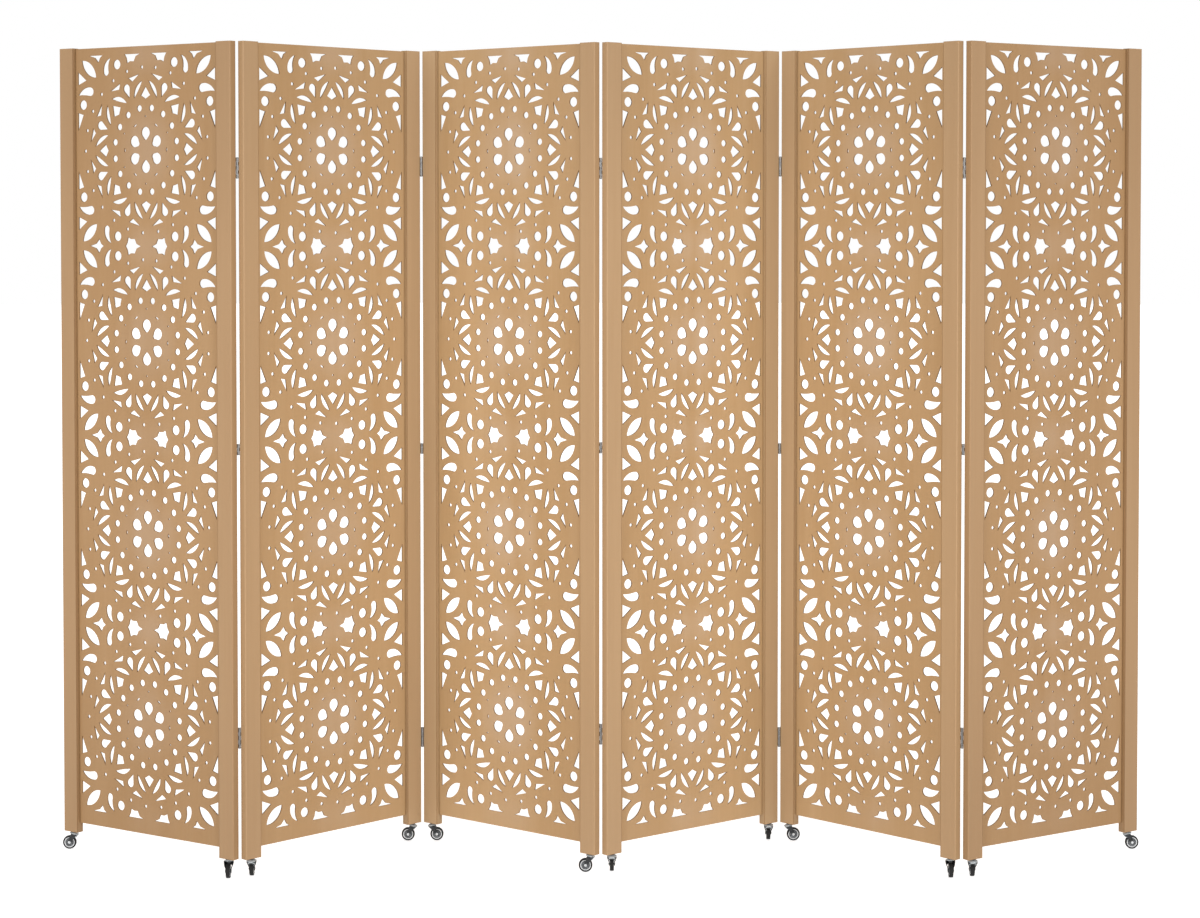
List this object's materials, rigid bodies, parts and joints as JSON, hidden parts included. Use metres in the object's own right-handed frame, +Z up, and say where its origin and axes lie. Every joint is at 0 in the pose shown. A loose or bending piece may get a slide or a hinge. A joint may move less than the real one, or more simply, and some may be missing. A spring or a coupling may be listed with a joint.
{
  "type": "folding screen",
  "caption": "Free-standing folding screen in zigzag: tall perforated lattice boards of medallion pattern held between plain wooden stiles, hinged in a row, on small swivel casters.",
  "frame": {"origin": "on the floor, in the middle of the standing screen's box", "axes": "+X along the row of panels, to the right as the viewer sees it; +Y away from the viewer; +Z up"},
  "size_m": [2.4262, 0.391, 1.8],
  "materials": {
    "board_wood": "satin",
    "stile_wood": "satin",
    "hinge_steel": "satin",
    "fork_metal": "satin",
    "wheel_rubber": "matte"
  },
  "bodies": {
    "panel_1": {"lattice_board_1": "board_wood", "left_stile_1": "stile_wood", "right_stile_1": "stile_wood", "caster_stems_1": "fork_metal", "fold_1_left_leaves": "hinge_steel"},
    "panel_2": {"lattice_board_2": "board_wood", "left_stile_2": "stile_wood", "right_stile_2": "stile_wood", "caster_stems_2": "fork_metal", "fold_1_right_leaves": "hinge_steel", "fold_2_left_leaves": "hinge_steel"},
    "panel_3": {"lattice_board_3": "board_wood", "left_stile_3": "stile_wood", "right_stile_3": "stile_wood", "caster_stems_3": "fork_metal", "fold_2_right_leaves": "hinge_steel", "fold_3_left_leaves": "hinge_steel"},
    "panel_4": {"lattice_board_4": "board_wood", "left_stile_4": "stile_wood", "right_stile_4": "stile_wood", "caster_stems_4": "fork_metal", "fold_3_right_leaves": "hinge_steel", "fold_4_left_leaves": "hinge_steel"},
    "panel_5": {"lattice_board_5": "board_wood", "left_stile_5": "stile_wood", "right_stile_5": "stile_wood", "caster_stems_5": "fork_metal", "fold_4_right_leaves": "hinge_steel", "fold_5_left_leaves": "hinge_steel"},
    "panel_6": {"lattice_board_6": "board_wood", "left_stile_6": "stile_wood", "right_stile_6": "stile_wood", "caster_stems_6": "fork_metal", "fold_5_right_leaves": "hinge_steel"},
    "fork_1": {"caster_fork_1": "fork_metal"},
    "wheel_1": {"caster_wheel_1": "wheel_rubber"},
    "fork_2": {"caster_fork_2": "fork_metal"},
    "wheel_2": {"caster_wheel_2": "wheel_rubber"},
    "fork_3": {"caster_fork_3": "fork_metal"},
    "wheel_3": {"caster_wheel_3": "wheel_rubber"},
    "fork_4": {"caster_fork_4": "fork_metal"},
    "wheel_4": {"caster_wheel_4": "wheel_rubber"},
    "fork_5": {"caster_fork_5": "fork_metal"},
    "wheel_5": {"caster_wheel_5": "wheel_rubber"},
    "fork_6": {"caster_fork_6": "fork_metal"},
    "wheel_6": {"caster_wheel_6": "wheel_rubber"},
    "fork_7": {"caster_fork_7": "fork_metal"},
    "wheel_7": {"caster_wheel_7": "wheel_rubber"},
    "fork_8": {"caster_fork_8": "fork_metal"},
    "wheel_8": {"caster_wheel_8": "wheel_rubber"},
    "fork_9": {"caster_fork_9": "fork_metal"},
    "wheel_9": {"caster_wheel_9": "wheel_rubber"},
    "fork_10": {"caster_fork_10": "fork_metal"},
    "wheel_10": {"caster_wheel_10": "wheel_rubber"},
    "fork_11": {"caster_fork_11": "fork_metal"},
    "wheel_11": {"caster_wheel_11": "wheel_rubber"},
    "fork_12": {"caster_fork_12": "fork_metal"},
    "wheel_12": {"caster_wheel_12": "wheel_rubber"}
  },
  "joints": [
    {"name": "fold_1", "type": "hinge", "parent": "panel_2", "child": "panel_1", "pos_m": [-0.77821, -0.17477, 0.9], "axis": [0, 0, 1], "range_deg": [-85, 80]},
    {"name": "fold_2", "type": "hinge", "parent": "panel_3", "child": "panel_2", "pos_m": [-0.40783, 0.1771, 0.9], "axis": [0, 0, -1], "range_deg": [-79.5, 85.5]},
    {"name": "fold_3", "type": "hinge", "parent": "panel_3", "child": "panel_4", "pos_m": [0, -0.13057, 0.9], "axis": [0, 0, -1], "range_deg": [-86, 79]},
    {"name": "fold_4", "type": "hinge", "parent": "panel_4", "child": "panel_5", "pos_m": [0.40783, 0.1771, 0.9], "axis": [0, 0, 1], "range_deg": [-79.5, 85.5]},
    {"name": "fold_5", "type": "hinge", "parent": "panel_5", "child": "panel_6", "pos_m": [0.77821, -0.17477, 0.9], "axis": [0, 0, -1], "range_deg": [-85, 80]},
    {"name": "swivel_1", "type": "hinge", "parent": "panel_1", "child": "fork_1", "pos_m": [-1.1891, 0.08911, 0.036], "axis": [0, 0, 1], "continuous": true},
    {"name": "swivel_2", "type": "hinge", "parent": "panel_1", "child": "fork_2", "pos_m": [-0.80277, -0.17147, 0.036], "axis": [0, 0, -1], "continuous": true},
    {"name": "swivel_3", "type": "hinge", "parent": "panel_2", "child": "fork_3", "pos_m": [-0.75488, -0.16644, 0.036], "axis": [0, 0, 1], "continuous": true},
    {"name": "swivel_4", "type": "hinge", "parent": "panel_2", "child": "fork_4", "pos_m": [-0.43117, 0.16878, 0.036], "axis": [0, 0, -1], "continuous": true},
    {"name": "swivel_5", "type": "hinge", "parent": "panel_3", "child": "fork_5", "pos_m": [-0.3837, 0.17147, 0.036], "axis": [0, 0, 1], "continuous": true},
    {"name": "swivel_6", "type": "hinge", "parent": "panel_3", "child": "fork_6", "pos_m": [-0.02413, -0.12494, 0.036], "axis": [0, 0, -1], "continuous": true},
    {"name": "swivel_7", "type": "hinge", "parent": "panel_4", "child": "fork_7", "pos_m": [0.02413, -0.12494, 0.036], "axis": [0, 0, 1], "continuous": true},
    {"name": "swivel_8", "type": "hinge", "parent": "panel_4", "child": "fork_8", "pos_m": [0.3837, 0.17147, 0.036], "axis": [0, 0, -1], "continuous": true},
    {"name": "swivel_9", "type": "hinge", "parent": "panel_5", "child": "fork_9", "pos_m": [0.43117, 0.16878, 0.036], "axis": [0, 0, 1], "continuous": true},
    {"name": "swivel_10", "type": "hinge", "parent": "panel_5", "child": "fork_10", "pos_m": [0.75488, -0.16644, 0.036], "axis": [0, 0, -1], "continuous": true},
    {"name": "swivel_11", "type": "hinge", "parent": "panel_6", "child": "fork_11", "pos_m": [0.80277, -0.17147, 0.036], "axis": [0, 0, 1], "continuous": true},
    {"name": "swivel_12", "type": "hinge", "parent": "panel_6", "child": "fork_12", "pos_m": [1.1891, 0.08911, 0.036], "axis": [0, 0, -1], "continuous": true},
    {"name": "spin_1", "type": "hinge", "parent": "fork_1", "child": "wheel_1", "pos_m": [-1.1981, 0.08911, 0.015], "axis": [0, -1, 0], "continuous": true},
    {"name": "spin_2", "type": "hinge", "parent": "fork_2", "child": "wheel_2", "pos_m": [-0.80277, -0.18047, 0.015], "axis": [1, 0, 0], "continuous": true},
    {"name": "spin_3", "type": "hinge", "parent": "fork_3", "child": "wheel_3", "pos_m": [-0.75488, -0.15744, 0.015], "axis": [-1, 0, 0], "continuous": true},
    {"name": "spin_4", "type": "hinge", "parent": "fork_4", "child": "wheel_4", "pos_m": [-0.44016, 0.16878, 0.015], "axis": [0, -1, 0], "continuous": true},
    {"name": "spin_5", "type": "hinge", "parent": "fork_5", "child": "wheel_5", "pos_m": [-0.3747, 0.17147, 0.015], "axis": [0, 1, 0], "continuous": true},
    {"name": "spin_6", "type": "hinge", "parent": "fork_6", "child": "wheel_6", "pos_m": [-0.03313, -0.12494, 0.015], "axis": [0, -1, 0], "continuous": true},
    {"name": "spin_7", "type": "hinge", "parent": "fork_7", "child": "wheel_7", "pos_m": [0.02413, -0.11594, 0.015], "axis": [-1, 0, 0], "continuous": true},
    {"name": "spin_8", "type": "hinge", "parent": "fork_8", "child": "wheel_8", "pos_m": [0.3837, 0.18047, 0.015], "axis": [-1, 0, 0], "continuous": true},
    {"name": "spin_9", "type": "hinge", "parent": "fork_9", "child": "wheel_9", "pos_m": [0.44016, 0.16878, 0.015], "axis": [0, 1, 0], "continuous": true},
    {"name": "spin_10", "type": "hinge", "parent": "fork_10", "child": "wheel_10", "pos_m": [0.75488, -0.17544, 0.015], "axis": [1, 0, 0], "continuous": true},
    {"name": "spin_11", "type": "hinge", "parent": "fork_11", "child": "wheel_11", "pos_m": [0.80277, -0.16247, 0.015], "axis": [-1, 0, 0], "continuous": true},
    {"name": "spin_12", "type": "hinge", "parent": "fork_12", "child": "wheel_12", "pos_m": [1.1981, 0.08911, 0.015], "axis": [0, 1, 0], "continuous": true}
  ]
}
